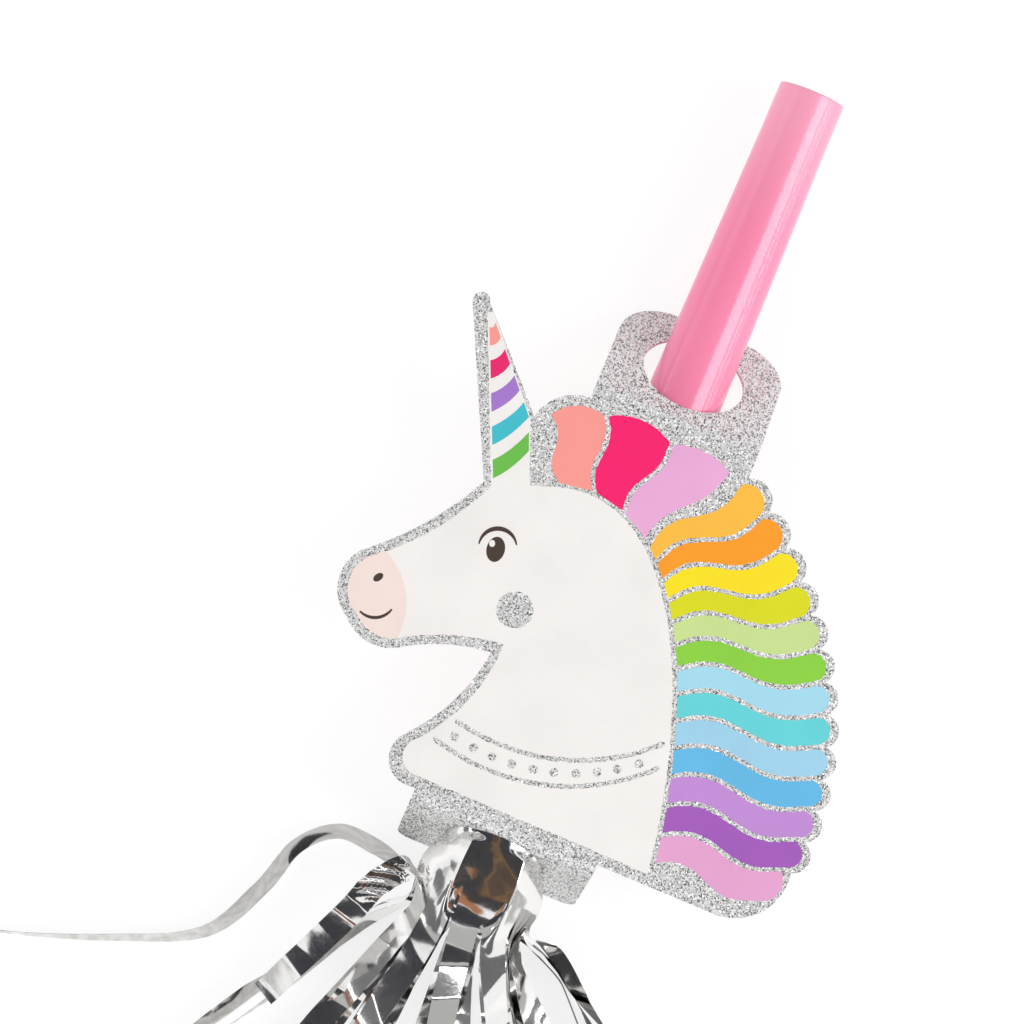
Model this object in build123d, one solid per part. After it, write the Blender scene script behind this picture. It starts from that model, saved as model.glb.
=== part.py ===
"""Party horn blower: a tapered plastic horn with a reed inside, a folded unicorn card that rides on
it, and a fringe of foil strips round its bell.

Millimetres, +Z up. The horn lies along Y, with the middle of its mouth end at the origin and its bell
towards -Y. The picture side of the card faces +Z, and the ends of its two tabs stand on the table.
"""
from build123d import *
import math
import os

# Horn tube: a straight lip, then an even taper to the bell
TUBE_LENGTH = 147.0
MOUTH_OD = 11.7
BELL_OD = 15.8
LIP_LENGTH = 8.0
LIP_ROUND = 0.25
TUBE_WALL = 0.8

# Reed unit: a plug pushed up the bore from the bell until the taper holds it
PLUG_FRONT = 84.0
PLUG_LENGTH = 9.0
PLUG_FIT = 0.03
REED_BOARD_LENGTH = 18.0
REED_BOARD_RADIUS = 4.4
REED_BOARD_TOP = 0.8
AIR_SLOT_WIDTH = 3.0
AIR_SLOT_DEPTH = 2.6
AIR_SLOT_END = 1.8
POCKET_WIDTH = 5.0
POCKET_HEIGHT = 2.6
POCKET_DEPTH = 4.4
REED_LENGTH = 20.0
REED_WIDTH = 4.6
REED_THICKNESS = 0.2
REED_OPENING = 3.0
REED_PLAY = 0.05

# Card: white board faced with glitter film, folded down at both ends into a tab with a round hole
CARD_THICKNESS = 0.4
GLITTER_THICKNESS = 0.12
CARD_RISE = 9.8
AXIS_HEIGHT = 10.8
FOLD_RADIUS = 2.0
BELL_REACH = 12.0
FOLD_SPAN = 73.4
TOP_TAB_WIDTH = 29.8
TOP_TAB_ROUND = 9.0
BOTTOM_TAB_WIDTH = 33.3
BOTTOM_TAB_ROUND = 2.5
HOLE_PLAY = 2.1
TAB_PLAY = 0.2
SEATING_ROUNDS = 12

# Head on the card, drawn upright for the drawing's own span between the folds, and leant over against
# the horn
DRAWN_SPAN = 73.4
DRAWN_RISE = 41.4
HEAD_LEAN = 22.8
MANE_LOCKS = 12
LOCK_SWELL = 2.0
LOCK_LEAN = 0.6
CREST_DROP = 1.2
MANE_DROP = 3.4

# Foil: three turns round the bell, held by a turn of clear tape and slit into strips past its end
FOIL_THICKNESS = 0.08
FOIL_TURNS = 3
FOIL_FIT = 0.02
FOIL_LENGTH = 18.0
TAPE_INSET = 0.6
TAPE_WIDTH = 5.0
TAPE_THICKNESS = 0.06
STRIPS_ROUND = 10
STRIP_WIDTH = 4.7
STRIP_LENGTH = 100.0
SHORT_STRIP_LENGTH = 40.0
SHORT_STRIP_LEAN = -31.0
SHORT_STRIP_LEVEL = 11
STRIP_LEVEL = 0.6
STRIP_LIFT = 0.35
FRINGE_LEAN = 9.0
FRINGE_FAN = 28.0
TURN_SHIFT = 14.0
SHIFT_FADE = 4
TURN_FAN = 0.9
EDGE_FAN = 1.75
EDGE_FAN_STEP = 0.15
EDGE_COSINE = 0.5
UPPER_LANDING = 44.0
SIDE_LANDING = 0.74
UPPER_TURN_LANDING = 0.8
LOWER_LANDING = 12.0
LOWER_TURN_LANDING = 1.2
FALL_STEPS = 5

# Places of the two strips that stray, as (turn, place round the bell)
CURLED_STRIP = (0, 7)
SHORT_STRIP = (0, 8)
# Route of the curled strip over the table, as shares of a strip's length across and past the bell
CURL_ROUTE = [(-0.126, 0.024), (-0.19, 0.012), (-0.26, 0.012), (-0.316, 0.064), (-0.344, 0.154),
              (-0.406, 0.262), (-0.546, 0.332), (-0.715, 0.394), (-0.86, 0.424)]
CURL_LEAVING = (-0.8, -0.6, 0.0)
CURL_STEPS = 30
CURL_FALL = 0.2

FLOOR_Z = -AXIS_HEIGHT
BOTTOM_FOLD_Y = BELL_REACH - TUBE_LENGTH
TOP_FOLD_Y = BOTTOM_FOLD_Y + FOLD_SPAN
HEAD_SCALE = FOLD_SPAN / DRAWN_SPAN
HEAD_CENTRE_Y = BOTTOM_FOLD_Y + DRAWN_RISE * HEAD_SCALE


def tube_radius(distance):
    """Outer radius of the horn at a distance from its mouth."""
    taper = (BELL_OD - MOUTH_OD) / 2 / (TUBE_LENGTH - LIP_LENGTH)
    return MOUTH_OD / 2 + taper * max(0.0, distance - LIP_LENGTH)


def foil_radius(distance, turns=FOIL_TURNS):
    """Outer radius of the foil wound on the horn at a distance from its mouth."""
    return tube_radius(distance) + FOIL_FIT + turns * FOIL_THICKNESS


def ring(stations):
    """Solid of revolution about the horn's axis, from (radius, distance from the mouth) corners."""
    corners = [(radius, -distance) for radius, distance in stations]
    return revolve(make_face(Polyline(*corners, close=True)), Axis.Y)


def slab(width, near, far, low, high):
    """Block centred on the horn's axis, between two distances from the mouth and two heights."""
    block = Box(width, far - near, high - low)
    return block.moved(Location((0, -(near + far) / 2, (low + high) / 2)))


def horn_tube():
    """The pink horn: a plain tapered tube with a rounded lip."""
    bell = BELL_OD / 2
    mouth = MOUTH_OD / 2
    tube = ring([(mouth, 0), (mouth, LIP_LENGTH), (bell, TUBE_LENGTH), (bell - TUBE_WALL, TUBE_LENGTH),
                 (mouth - TUBE_WALL, LIP_LENGTH), (mouth - TUBE_WALL, 0)])
    lip_edges = tube.edges().filter_by(GeomType.CIRCLE).group_by(Axis.Y)[-1]
    return fillet(lip_edges, min(LIP_ROUND, TUBE_WALL / 3))


def reed_plug():
    """Collar that seals the bore, with a half-round reed board and an air slot below the reed."""
    back = PLUG_FRONT + PLUG_LENGTH
    board_front = PLUG_FRONT - REED_BOARD_LENGTH
    seat = [tube_radius(distance) - TUBE_WALL - PLUG_FIT for distance in (PLUG_FRONT, back)]
    collar = ring([(0, PLUG_FRONT), (seat[0], PLUG_FRONT), (seat[1], back), (0, back)])
    rod = ring([(0, board_front), (REED_BOARD_RADIUS, board_front), (REED_BOARD_RADIUS, PLUG_FRONT),
                (0, PLUG_FRONT)])
    board = rod - slab(BELL_OD, board_front, PLUG_FRONT, REED_BOARD_TOP, BELL_OD)
    pocket = slab(POCKET_WIDTH, PLUG_FRONT, PLUG_FRONT + POCKET_DEPTH, REED_BOARD_TOP,
                  REED_BOARD_TOP + POCKET_HEIGHT)
    slot = slab(AIR_SLOT_WIDTH, board_front + AIR_SLOT_END, back, REED_BOARD_TOP - AIR_SLOT_DEPTH,
                REED_BOARD_TOP)
    return collar + board - pocket - slot


def reed_hinge():
    """Distance from the mouth and height of the line that the reed flutters about."""
    distance = PLUG_FRONT + POCKET_DEPTH - REED_PLAY
    return distance, REED_BOARD_TOP + REED_PLAY + REED_THICKNESS / 2


def reed_tongue():
    """Thin springy tongue, standing open at the end that faces the mouth."""
    distance, height = reed_hinge()
    flat = slab(REED_WIDTH, -REED_LENGTH, 0, -REED_THICKNESS / 2, REED_THICKNESS / 2)
    return flat.rotate(Axis.X, REED_OPENING).moved(Location((0, -distance, height)))


def reed_wedge():
    """Block that holds the root of the reed down in the plug's pocket."""
    distance, height = reed_hinge()
    slope = math.tan(math.radians(REED_OPENING))
    reed_top = height + REED_THICKNESS / 2 + REED_PLAY
    front_rise = slope * (distance - PLUG_FRONT)
    top = REED_BOARD_TOP + POCKET_HEIGHT - REED_PLAY
    side = Polyline((-PLUG_FRONT, reed_top + front_rise), (-distance, reed_top), (-distance, top),
                    (-PLUG_FRONT, top), close=True)
    face = Plane.YZ * make_face(side)
    return extrude(face, POCKET_WIDTH / 2 - REED_PLAY, both=True)


HOLE_D = 2 * foil_radius(-BOTTOM_FOLD_Y) + HOLE_PLAY


def seat_tab(fold_y, outward, turns):
    """Tilt of a tab, and where the horn's axis passes its hole, once the hole takes the horn."""
    sheet = CARD_THICKNESS + GLITTER_THICKNESS
    reach = math.hypot(HOLE_D, sheet)
    hole_y = fold_y
    for _ in range(SEATING_ROUNDS):
        widest = foil_radius(-hole_y, turns) if turns else tube_radius(-hole_y)
        tilt = math.asin((2 * widest + 2 * TAB_PLAY) / reach) + math.atan2(sheet, HOLE_D)
        corner_y = fold_y + outward * FOLD_RADIUS * math.tan(tilt / 2)
        hole_y = corner_y + outward * CARD_RISE / math.tan(tilt)
    return tilt, corner_y


def bent_tab(fold_y, outward, turns, width, end_round, inner, outer):
    """Fold and tab of one sheet layer, between two depths measured outwards from the board's face."""
    tilt, corner_y = seat_tab(fold_y, outward, turns)
    drop = math.sin(tilt)
    start = FOLD_RADIUS * math.tan(tilt / 2)
    hole_at = CARD_RISE / drop
    end = (CARD_RISE + AXIS_HEIGHT - CARD_THICKNESS * math.cos(tilt)) / drop
    plate = Rectangle(width, end - start)
    plate = fillet(plate.vertices().group_by(Axis.Y)[-1], min(end_round, width / 3))
    plate = plate.moved(Location((0, (start + end) / 2)))
    plate -= Pos(0, hole_at) * Circle(HOLE_D / 2)
    facing = Plane(origin=(0, corner_y, CARD_RISE), x_dir=(outward, 0, 0),
                   z_dir=(0, outward * drop, math.cos(tilt)))
    tab = extrude(facing * plate, outer) if outer else extrude(facing * plate, inner)
    turn = math.degrees(tilt)
    arcs = [CenterArc((0, 0), FOLD_RADIUS + depth, 90 - turn, turn) for depth in (outer, inner)]
    ends = [Line(arcs[0] @ t, arcs[1] @ t) for t in (0, 1)]
    side = Plane(origin=(0, fold_y, CARD_RISE - FOLD_RADIUS), x_dir=(0, outward, 0),
                 z_dir=(outward, 0, 0))
    fold = extrude(side * make_face(arcs + ends), width / 2, both=True)
    return fold + tab


def portrait(x, y):
    """Point of the upright head drawing, scaled to the card, leant over and set on the horn's axis."""
    lean = math.radians(HEAD_LEAN)
    leant = Vector(x * math.cos(lean) - y * math.sin(lean), x * math.sin(lean) + y * math.cos(lean))
    return leant * HEAD_SCALE + Vector(0, HEAD_CENTRE_Y)


def foot(x, rise):
    """Point of the head's lower edge, from the horn's axis and the lower fold, scaled to the card."""
    return Vector(x, rise) * HEAD_SCALE + Vector(0, BOTTOM_FOLD_Y)


def mane_edge(start, end):
    """Row of round lock ends from the top tab down to the lower corner."""
    swell = portrait(47.0, -15.0)

    def along(t):
        return start * (1 - t) ** 2 + swell * (2 * t * (1 - t)) + end * t ** 2

    locks = []
    for lock in range(MANE_LOCKS):
        first = along(lock / MANE_LOCKS)
        last = along((lock + 1) / MANE_LOCKS)
        middle = along((lock + LOCK_LEAN) / MANE_LOCKS)
        outwards = (last - first).cross(Vector(0, 0, -1)).normalized()
        locks.append(ThreePointArc(first, middle + outwards * LOCK_SWELL, last))
    return locks


def head_outline():
    """Closed outline of the flat part of the card: a unicorn's head and neck facing left."""
    half = TOP_TAB_WIDTH / 2
    tab_left = Vector(-half, TOP_FOLD_Y - CREST_DROP)
    tab_right = Vector(half, TOP_FOLD_Y - MANE_DROP)
    horn_left = portrait(-19.8, 20.0)
    horn_right = portrait(-11.3, 31.1)
    tip_left = portrait(-21.7, 50.2)
    tip_right = portrait(-18.7, 50.2)
    mane_foot = portrait(32.0, -46.0)
    corner = foot(37.5, 0)
    chest_foot = foot(-19.0, 0)
    chest = portrait(-33.2, -22.5)
    throat = portrait(-18.6, -8.8)
    chin = portrait(-34.5, -8.0)
    lip = portrait(-42.9, -2.8)
    bridge = portrait(-40.4, 8.5)
    return [
        Line(horn_left, tip_left),
        ThreePointArc(tip_left, portrait(-20.4, 52.0), tip_right),
        Line(tip_right, horn_right),
        ThreePointArc(horn_right, portrait(-6.6, 34.4), tab_left),
        Polyline(tab_left, Vector(-half, TOP_FOLD_Y), Vector(half, TOP_FOLD_Y), tab_right),
        *mane_edge(tab_right, mane_foot),
        ThreePointArc(mane_foot, foot(45.4, 3.6), corner),
        Line(corner, chest_foot),
        ThreePointArc(chest_foot, foot(-22.8, 3.2), chest),
        ThreePointArc(chest, portrait(-24.4, -16.4), throat),
        ThreePointArc(throat, portrait(-26.5, -7.4), chin),
        ThreePointArc(chin, portrait(-40.0, -6.6), lip),
        ThreePointArc(lip, portrait(-44.4, 3.2), bridge),
        ThreePointArc(bridge, portrait(-31.4, 12.2), horn_left),
    ]


def card_layer(inner, outer):
    """One layer of the folded card, between two depths measured outwards from the board's face."""
    face = make_face(head_outline()).moved(Location((0, 0, CARD_RISE)))
    flat = extrude(face, amount=outer + inner, dir=(0, 0, 1))
    top = bent_tab(TOP_FOLD_Y, 1, 0, TOP_TAB_WIDTH, TOP_TAB_ROUND, inner, outer)
    bottom = bent_tab(BOTTOM_FOLD_Y, -1, FOIL_TURNS, BOTTOM_TAB_WIDTH, BOTTOM_TAB_ROUND, inner, outer)
    return flat + top + bottom


def foil_heading():
    """The uncut part of the foil, wound round the bell."""
    start = TUBE_LENGTH - FOIL_LENGTH
    return ring([(foil_radius(start, 0), start), (foil_radius(start), start),
                 (foil_radius(TUBE_LENGTH), TUBE_LENGTH), (foil_radius(TUBE_LENGTH, 0), TUBE_LENGTH)])


def fringe_tape():
    """One turn of clear tape over the start of the foil."""
    start = TUBE_LENGTH - FOIL_LENGTH + TAPE_INSET
    end = start + TAPE_WIDTH
    inner = [foil_radius(distance) for distance in (start, end)]
    return ring([(inner[0], start), (inner[0] + TAPE_THICKNESS, start), (inner[1] + TAPE_THICKNESS, end),
                 (inner[1], end)])


def ribbon(centres, sides, leaving):
    """Thin strip through a row of points, each with the direction of the strip's width there."""
    sections = []
    for place, (centre, side) in enumerate(zip(centres, sides)):
        ahead = centres[min(place + 1, len(centres) - 1)] - centres[max(place - 1, 0)]
        if place == 0:
            ahead = leaving
        across = (side - ahead * (side.dot(ahead) / ahead.dot(ahead))).normalized() * (STRIP_WIDTH / 2)
        up = across.cross(ahead).normalized() * (FOIL_THICKNESS / 2)
        corners = [centre + across + up, centre - across + up, centre - across - up, centre + across - up]
        sections.append(Wire.make_polygon(corners, close=True))
    return Solid.make_loft(sections, ruled=True)


def ease(t):
    """Smooth step from 0 to 1."""
    return t * t * (3 - 2 * t)


def draped_strip(clock, turn, short=False):
    """Strip that leaves the bell straight, falls to the table and lies there, fanned out."""
    length = SHORT_STRIP_LENGTH if short else STRIP_LENGTH
    upper = math.cos(clock) > 0
    on_edge = 0 < -math.cos(clock) < EDGE_COSINE
    root_radius = foil_radius(TUBE_LENGTH, FOIL_TURNS - turn - 0.5)
    root = Vector(root_radius * math.sin(clock), -TUBE_LENGTH, root_radius * math.cos(clock))
    if on_edge:
        spread = (EDGE_FAN - EDGE_FAN_STEP * turn) * math.sin(clock)
    else:
        shift = math.radians(TURN_SHIFT) * (0, 1, -1)[turn % 3] * max(0.0, math.cos(clock)) ** SHIFT_FADE
        spread = math.sin(clock + shift) * TURN_FAN ** turn
    heading = math.radians(FRINGE_LEAN + FRINGE_FAN * spread)
    if upper:
        sooner = SIDE_LANDING + (1 - SIDE_LANDING) * math.cos(clock)
        landing = UPPER_LANDING * sooner * UPPER_TURN_LANDING ** (turn * math.cos(clock) ** 2)
        level = 2 * FOIL_TURNS - turn
        if short:
            heading = math.radians(SHORT_STRIP_LEAN)
            level = SHORT_STRIP_LEVEL
    else:
        landing = LOWER_LANDING * LOWER_TURN_LANDING ** turn
        level = turn
    ahead = Vector(math.sin(heading), -math.cos(heading), 0)
    rest = FLOOR_Z + STRIP_LIFT + level * STRIP_LEVEL
    side_at_root = Vector(math.cos(clock), 0, -math.sin(clock))
    side_at_rest = Vector(math.cos(heading), math.sin(heading), 0) * (1 if upper else -1)
    if on_edge:
        rest = FLOOR_Z + STRIP_LIFT + STRIP_WIDTH / 2
        side_at_rest = Vector(0, 0, -math.copysign(1, math.sin(clock)))
    land = Vector(root.X, root.Y, rest) + ahead * landing
    centres = []
    sides = []
    for step in range(FALL_STEPS + 1):
        t = step / FALL_STEPS
        pull = Vector(0, -landing, 0) * (t * (1 - t) ** 2) - ahead * (landing * t * t * (1 - t))
        centres.append(root + (land - root) * ease(t) + pull)
        sides.append(side_at_root + (side_at_rest - side_at_root) * ease(t))
    for share in (0.5, 1.0):
        centres.append(land + ahead * ((length - landing) * share))
        sides.append(side_at_rest)
    return ribbon(centres, sides, Vector(0, -1, 0))


def curled_strip(clock, turn):
    """Long strip that has sprung away to the left and stands on its edge on the table."""
    root_radius = foil_radius(TUBE_LENGTH, FOIL_TURNS - turn - 0.5)
    root = Vector(root_radius * math.sin(clock), -TUBE_LENGTH - FOIL_THICKNESS / 2,
                  root_radius * math.cos(clock))
    rest = FLOOR_Z + STRIP_LIFT + STRIP_WIDTH / 2
    stations = [(across * STRIP_LENGTH, -TUBE_LENGTH - past * STRIP_LENGTH) for across, past in CURL_ROUTE]
    route = Spline((root.X, root.Y), *stations)
    side_at_root = Vector(math.cos(clock), 0, -math.sin(clock))
    leaving = Vector(*CURL_LEAVING)
    leaving -= side_at_root * side_at_root.dot(leaving)
    upright = Vector(0, 0, 1)
    centres = []
    sides = []
    for step in range(CURL_STEPS + 1):
        share = step / CURL_STEPS
        point = route @ share
        fallen = ease(min(1.0, share / CURL_FALL))
        centres.append(Vector(point.X, point.Y, root.Z + (rest - root.Z) * fallen))
        sides.append(side_at_root + (upright - side_at_root) * fallen)
    return ribbon(centres, sides, leaving)


def fringe_strips():
    """Every strip of the fringe by name, turn by turn round the bell from its top."""
    strips = {}
    for turn in range(FOIL_TURNS):
        for place in range(STRIPS_ROUND):
            clock = 2 * math.pi * place / STRIPS_ROUND
            name = f"fringe_strip_{turn * STRIPS_ROUND + place + 1:02d}"
            if (turn, place) == CURLED_STRIP:
                strips[name] = curled_strip(clock, turn)
            else:
                strips[name] = draped_strip(clock, turn, (turn, place) == SHORT_STRIP)
    return strips


parts = {
    "horn_tube": horn_tube(),
    "reed_plug": reed_plug(),
    "reed_tongue": reed_tongue(),
    "reed_wedge": reed_wedge(),
    "card_board": card_layer(-CARD_THICKNESS, 0),
    "glitter_face": card_layer(0, GLITTER_THICKNESS),
    "foil_heading": foil_heading(),
    "fringe_tape": fringe_tape(),
    **fringe_strips(),
}

os.makedirs("parts", exist_ok=True)
for node, shape in parts.items():
    export_step(shape, f"parts/{node}.step")
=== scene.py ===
import bisect
import math
import random

import bpy
from mathutils import Matrix, Vector, noise


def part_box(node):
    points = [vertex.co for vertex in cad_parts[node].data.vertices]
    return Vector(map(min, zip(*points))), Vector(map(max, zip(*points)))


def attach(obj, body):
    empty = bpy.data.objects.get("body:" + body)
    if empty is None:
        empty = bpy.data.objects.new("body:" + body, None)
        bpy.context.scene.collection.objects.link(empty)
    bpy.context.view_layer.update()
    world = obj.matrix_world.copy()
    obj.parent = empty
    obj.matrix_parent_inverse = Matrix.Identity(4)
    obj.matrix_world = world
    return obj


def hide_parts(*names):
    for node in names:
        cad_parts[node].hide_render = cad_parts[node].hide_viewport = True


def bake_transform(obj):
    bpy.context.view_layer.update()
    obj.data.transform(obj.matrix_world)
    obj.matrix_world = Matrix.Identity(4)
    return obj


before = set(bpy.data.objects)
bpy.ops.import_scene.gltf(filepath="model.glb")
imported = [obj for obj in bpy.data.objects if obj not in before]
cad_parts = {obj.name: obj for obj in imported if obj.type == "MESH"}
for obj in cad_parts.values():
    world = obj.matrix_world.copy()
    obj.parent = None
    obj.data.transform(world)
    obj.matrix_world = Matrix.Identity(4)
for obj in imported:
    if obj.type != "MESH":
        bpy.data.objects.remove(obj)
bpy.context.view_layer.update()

bl_info = {
    "name": "Party horn blower",
    "version": (1, 0, 0),
    "blender": (4, 5, 0),
    "location": "3D View > Sidebar > Blower",
    "description": "Prints the card, winds the foil and sets the stage round the party horn",
    "category": "Object",
}

# Shapes below are drawn in millimetres and made in metres
MM = 0.001

# The card's drawing is upright in the photograph: it leans against the horn and has its own middle
HEAD_LEAN = math.radians(22.8)
HEAD_CENTRE_Y = -93.6
CARD_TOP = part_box("glitter_face")[1].z / MM
# Steps of a drawn line and of a lock's wave, and how much the wave dies down towards the lock's end
PEN_STEP = 0.25
WAVE_STEP = 0.3
WAVE_FADE = 0.25
# How deep a film of ink sits in the glitter, the grains that its edge follows, and what parts two edges
INK_DEPTH = 0.004
EDGE_GRAIN = 0.6
EDGE_SHIFT = 3.1

# The photograph's frame: its middle and width on the table, seen from straight above
PICTURE_CENTRE = (-19.65, -85.7)
PICTURE_WIDTH = 174.1
PICTURE_LEVEL = 4.0
SENSOR_WIDTH = 36
# Where along the horn the key light stands
KEY_Y = 40.0
TABLE_HALF = 3000.0

# The horn and the foil that is wound on it
BELL_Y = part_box("horn_tube")[0].y / MM
LIP_LENGTH = 8.0
LIP_RADIUS = 5.85
BELL_RADIUS = 7.9
FLOOR_Z = -10.8
FOIL_THICKNESS = 0.08
FOIL_TURNS = 3
FOIL_FIT = 0.02
FOIL_LENGTH = 18.0
TAPE_END = 6.2
SHARP_ANGLE = math.radians(50)

# Folds of the collar: height, number round the bell, slant along it and phase
COLLAR_FOLDS = [(0.03, 5, 0.11, 0.13), (0.025, 9, -0.16, 0.62)]
# Flat facets that the collar opens into past the card: the clock angle of each one's middle
COLLAR_FACETS = [2, 63, 112, 160, 207, 254, 304]
# How far the collar opens past the card, on top and at its sides
COLLAR_FLARE = (0.3, 1.5)
# Where the collar changes, each as a start and a run: it comes loose past its tape, fills the hole before the
# tab, and past the tab it breaks into facets and flares
LOOSENS = (TAPE_END + 0.2, 2.5)
FILLS = (-3.4, 2.8)
BREAKS = (0.4, 1.5)
FLARES = (0.5, 6.0)
# Steps of the collar's mesh, round the bell and along it
COLLAR_STEPS = (360, 60)
# The lower tab of the card: where it crosses the horn's axis, and how far it leans for each step upwards
TAB_Y = -140.4
TAB_LEAN = 0.41
# Half the width and half the height of the tab's hole, seen along the horn, and the foil's gap to it
HOLE_X = 9.03
HOLE_Z = 8.35
HOLE_GAP = 0.12

# The fringe's strips, as they fan out and fall past the bell
STRIPS_ROUND = 10
STRIP_WIDTH = 4.7
STRIP_LENGTH = 100.0
SHORT_STRIP_LENGTH = 40.0
SHORT_STRIP_LEAN = -26.0
STRIP_LEVEL = 0.6
STRIP_LIFT = 0.35
FRINGE_LEAN = 9.0
FRINGE_FAN = 28.0
TURN_SHIFT = 14.0
SHIFT_FADE = 4
SLIT_SHIFTS = (0.0, 0.5, 0.25)
TURN_FAN = 0.9
EDGE_FAN = 1.75
EDGE_FAN_STEP = 0.15
EDGE_COSINE = 0.5
EDGE_LEAN = -0.3
UPPER_LANDING = 44.0
SIDE_LANDING = 0.74
UPPER_TURN_LANDING = 0.8
LOWER_LANDING = 12.0
LOWER_TURN_LANDING = 1.2
FALL_STEPS = 40
RIPPLE_HEIGHT = 1.3
RIPPLE_LENGTH = 31.0
RIPPLE_SKEW = 3.0
RIPPLE_START = 20.0
RIPPLE_FADE = 22.0
CURLED_STRIP = (0, 7)
SHORT_STRIP = (0, 8)
# How far the curled strip leans back for each step upwards, in its bend and in its tail, and the shares of it
# over which it turns from the bell and changes to its tail
CURL_LEANS = (0.85, 0.3)
CURL_TURN = (0.0, 0.25)
CURL_TAIL = (0.55, 0.2)
# The share of the short strip over which it turns from the bell
SHORT_TURN = (0.0, 0.45)
# Shares of a strip's length: across the horn, and past the bell
CURL_ROUTE = [
    (-0.126, 0.024), (-0.19, 0.012), (-0.26, 0.012), (-0.316, 0.064), (-0.344, 0.154),
    (-0.406, 0.262), (-0.546, 0.332), (-0.715, 0.394), (-0.86, 0.424),
]
# Shares of the short strip's own length: across, past and above the middle of the bell
SHORT_ROUTE = [(-0.32, 0.038, 0.09), (-0.415, 0.16, 0.065), (-0.485, 0.35, 0.005), (-0.675, 0.79, -0.085)]
# Runs past the bell over which a strip leaves the bell's round, and a stray one does, and creases and twists
LEAVES = (0.0, 11.0)
STRAY_LEAVES = (0.0, 5.0)
CREASES_FROM = (0.0, 16.0)
# Layers of creases: height as a share of the crease, shortest and longest run, and most skew
PLAIN_CREASES = [(1.0, 7, 17, 0.8), (0.12, 5, 12, 0.9)]
SHORT_CREASES = [(0.55, 1.8, 6, 0.5), (0.07, 2.5, 8, 0.9)]
CURL_CREASES = [(0.1, 12, 26, 0.8)]
CRUMPLE_CREASES = [(0.9, 0.9, 2.4, 1.2)]
# The short strip is crumpled from its root to where it springs free
CRUMPLE_START = (0.0, 4.0)
CRUMPLE_END = (12.0, 5.0)
# How far creases run on past a strip's ends, and the least share of its height that a crease has
CREASE_MARGIN = 30.0
LEAST_CREASE = 0.35
# Lengths over which a strip twists there and back, and how much of its twist the curled one has
TWIST_SPANS = (45, 90)
CURL_SWING = 0.3
STRIP_STEPS = 8
LEAST_LIFT = 0.08

# The mane: its line on the head, its outer edge, and one lock for each scallop of that edge
CREST = [(-9.5, 19.5), (12.0, 20.0), (17.0, -10.0), (8.2, -46.2)]
CREST_STEPS = 200
MANE_EDGE = [(24.8, 20.6), (47.0, -15.0), (32.0, -46.0)]
MANE_COLOURS = [
    "#FFBE3C", "#FF9E14", "#FFE400", "#DEDE00", "#CBE291", "#8CD43C", "#A5DCF0",
    "#64D7DC", "#A0D4EE", "#62BBE8", "#C38CD7", "#A55ABE", "#E8A5D2",
]
# Shares of the crest where the mane starts and ends
MANE_ROOTS = (0.365, 0.985)
# Half the gap between two locks, the mane's border, and how far its locks and the head keep off the crest
LOCK_GAP = 0.42
MANE_BORDER = 1.5
LOCK_START = 0.5
HEAD_INSET = 0.35
# The last lock fills the card's lower corner
CORNER_END = (25.6, -50.9)
CORNER_TIP = (29.9, -49.3)
LOCK_SWELL = 2.0
LOCK_LEAN = 0.6
FORELOCK_COLOURS = ["#FE9B93", "#FF006E", "#ECACD9"]
FORELOCK_ROOTS = [0.03, 0.145, 0.25, 0.35]
FORELOCK_ENDS = [(-8.8, 31.4), (0.9, 31.2), (11.9, 26.4), (22.0, 21.3)]
FORELOCK_TIPS = [(-3.7, 32.8), (7.0, 30.3), (17.5, 25.0)]
FORELOCK_WAVE = 0.6
# Bands round the unicorn's horn: the lowest one, their pitch and height, how they rise and how they sag
HORN_COLOURS = ["#6CC24A", "#3CC0CF", "#A678D0", "#F0146E", "#FE9B93"]
BAND_LOW, BAND_PITCH, BAND_HEIGHT, BAND_RISE, BAND_SAG = 20.6, 5.6, 3.1, 0.75, 0.5
BAND_STEPS = 24
# The collar on the neck: two lines, and beads between them
COLLAR_LINES = [((-24.3, -20.4), (-7.2, -26.8), (10.4, -24.2)), ((-28.0, -23.4), (-8.6, -31.2), (9.4, -28.4))]
COLLAR_BEADS = ((-26.2, -21.9), (-7.9, -29.0), (9.9, -26.3))
BEAD_PITCH = 3.6

# Cloths of the stage: material and colour
CLOTHS = {
    "black": ("black_molton", "#34353A"), "dark": ("dark_grey_molton", "#6A6A6C"),
    "grey": ("grey_molton", "#B6B6B4"), "pale": ("pale_grey_molton", "#F2F2EE"),
    "brown": ("brown_molton", "#7A5236"), "copper": ("copper_molton", "#A8714C"),
}
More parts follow.
